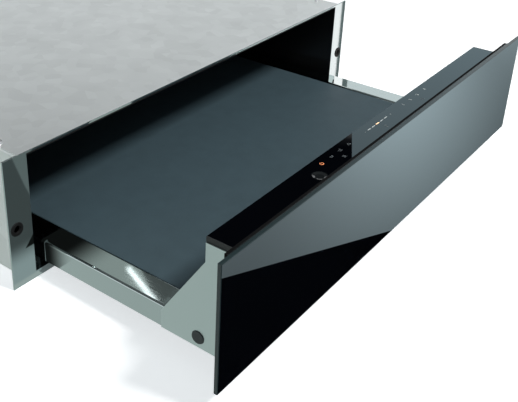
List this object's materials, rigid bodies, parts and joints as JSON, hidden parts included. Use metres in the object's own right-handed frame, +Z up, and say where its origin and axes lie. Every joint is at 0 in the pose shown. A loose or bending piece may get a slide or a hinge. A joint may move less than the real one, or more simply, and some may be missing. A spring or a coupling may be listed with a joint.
{
  "type": "built-in warming drawer",
  "caption": "Built-in warming drawer for a 60 cm kitchen unit: steel frame and casing, telescopic tray with mat, black glass front with touch control ledge, fan heater behind.",
  "frame": {"origin": "centre of the front frame's foot, on the plane where its flanges seat against the unit and on the shelf it stands on", "axes": "+X to the user's right, +Y back into the unit, +Z up; the drawer opens along -Y"},
  "size_m": [0.595, 0.7845, 0.141],
  "materials": {
    "frame_steel": "brushed, grain along the flange",
    "drawer_steel": "brushed, semi-gloss",
    "bracket_steel": "satin",
    "galvanised_steel": "bright galvanised, low spangle",
    "runner_steel": "zinc plated",
    "screw_steel": "zinc plated",
    "dark_enamel": "satin dark enamel",
    "black_rubber": "matt",
    "insulation": "fibre mat",
    "heater_sheath": "oxidised steel sheath",
    "fan_aluminium": "stamped",
    "motor_iron": "laminated",
    "white_ceramic": "matt",
    "black_plastic": "fine texture",
    "grey_plastic": "moulded",
    "circuit_board": "solder mask",
    "mat_rubber": "fine anti-slip grain, matt",
    "front_black_glass": "polished, opaque black",
    "control_black_glass": "polished, opaque black",
    "lens_plastic": "polished, dark",
    "carrier_aluminium": "fine satin"
  },
  "bodies": {
    "housing": {"front_frame": "frame_steel", "opening_seal": "black_rubber", "frame_grommets": "black_rubber", "casing_base": "galvanised_steel", "casing_side_left": "galvanised_steel", "casing_side_right": "galvanised_steel", "casing_top": "galvanised_steel", "casing_back": "galvanised_steel", "casing_screws": "screw_steel", "rubber_feet": "black_rubber", "cavity_liner": "dark_enamel", "insulation_pads": "insulation", "rear_baffle": "galvanised_steel", "heater_element": "heater_sheath", "motor_plate": "galvanised_steel", "fan_motor": "motor_iron", "safety_cutout": "white_ceramic", "temperature_probe": "screw_steel", "board_tray": "black_plastic", "power_board": "circuit_board", "terminal_block": "white_ceramic", "mains_gland": "black_plastic", "runner_support_left": "galvanised_steel", "runner_support_right": "galvanised_steel", "fixed_runner_left": "runner_steel", "fixed_runner_right": "runner_steel", "push_latch": "grey_plastic", "push_plunger": "grey_plastic", "reed_switch": "black_plastic"},
    "drawer": {"drawer_side_left": "drawer_steel", "drawer_side_right": "drawer_steel", "drawer_rear_rail": "drawer_steel", "drawer_front_rail": "drawer_steel", "drawer_floor": "galvanised_steel", "anti_slip_mat": "mat_rubber", "front_glass": "front_black_glass", "front_carrier": "carrier_aluminium", "front_seal": "black_rubber", "bracket_left": "bracket_steel", "bracket_right": "bracket_steel", "bracket_plugs": "black_plastic", "carrier_screws": "screw_steel", "ledge_body": "black_plastic", "control_glass": "control_black_glass", "sensor_lens": "lens_plastic", "ledge_end_caps": "black_plastic", "touch_board": "circuit_board", "board_cover": "black_plastic", "latch_striker": "galvanised_steel", "switch_magnet": "motor_iron", "drawer_runner_left": "runner_steel", "drawer_runner_right": "runner_steel"},
    "middle_left": {"middle_runner_left": "runner_steel"},
    "middle_right": {"middle_runner_right": "runner_steel"},
    "outer_balls_left": {"outer_cage_left": "runner_steel"},
    "outer_balls_right": {"outer_cage_right": "runner_steel"},
    "inner_balls_left": {"inner_cage_left": "runner_steel"},
    "inner_balls_right": {"inner_cage_right": "runner_steel"},
    "fan": {"fan_wheel": "fan_aluminium", "fan_shaft": "screw_steel"}
  },
  "joints": [
    {"name": "drawer_slide", "type": "slide", "parent": "housing", "child": "drawer", "axis": [0, -1, 0], "range_m": [-0.2252, 0.17]},
    {"name": "middle_left_slide", "type": "slide", "parent": "housing", "child": "middle_left", "axis": [0, -1, 0], "range_m": [-0.1126, 0.085]},
    {"name": "outer_cage_left_slide", "type": "slide", "parent": "housing", "child": "outer_balls_left", "axis": [0, -1, 0], "range_m": [-0.0563, 0.0425]},
    {"name": "inner_cage_left_slide", "type": "slide", "parent": "housing", "child": "inner_balls_left", "axis": [0, -1, 0], "range_m": [-0.1689, 0.1275]},
    {"name": "middle_right_slide", "type": "slide", "parent": "housing", "child": "middle_right", "axis": [0, -1, 0], "range_m": [-0.1126, 0.085]},
    {"name": "outer_cage_right_slide", "type": "slide", "parent": "housing", "child": "outer_balls_right", "axis": [0, -1, 0], "range_m": [-0.0563, 0.0425]},
    {"name": "inner_cage_right_slide", "type": "slide", "parent": "housing", "child": "inner_balls_right", "axis": [0, -1, 0], "range_m": [-0.1689, 0.1275]},
    {"name": "fan_spin", "type": "hinge", "parent": "housing", "child": "fan", "pos_m": [0, 0.481, 0.068], "axis": [0, 1, 0], "continuous": true}
  ],
  "couplings": [
    {"joint": "middle_left_slide", "follows": "drawer_slide", "ratio": 0.5},
    {"joint": "outer_cage_left_slide", "follows": "drawer_slide", "ratio": 0.25},
    {"joint": "inner_cage_left_slide", "follows": "drawer_slide", "ratio": 0.75},
    {"joint": "middle_right_slide", "follows": "drawer_slide", "ratio": 0.5},
    {"joint": "outer_cage_right_slide", "follows": "drawer_slide", "ratio": 0.25},
    {"joint": "inner_cage_right_slide", "follows": "drawer_slide", "ratio": 0.75}
  ]
}
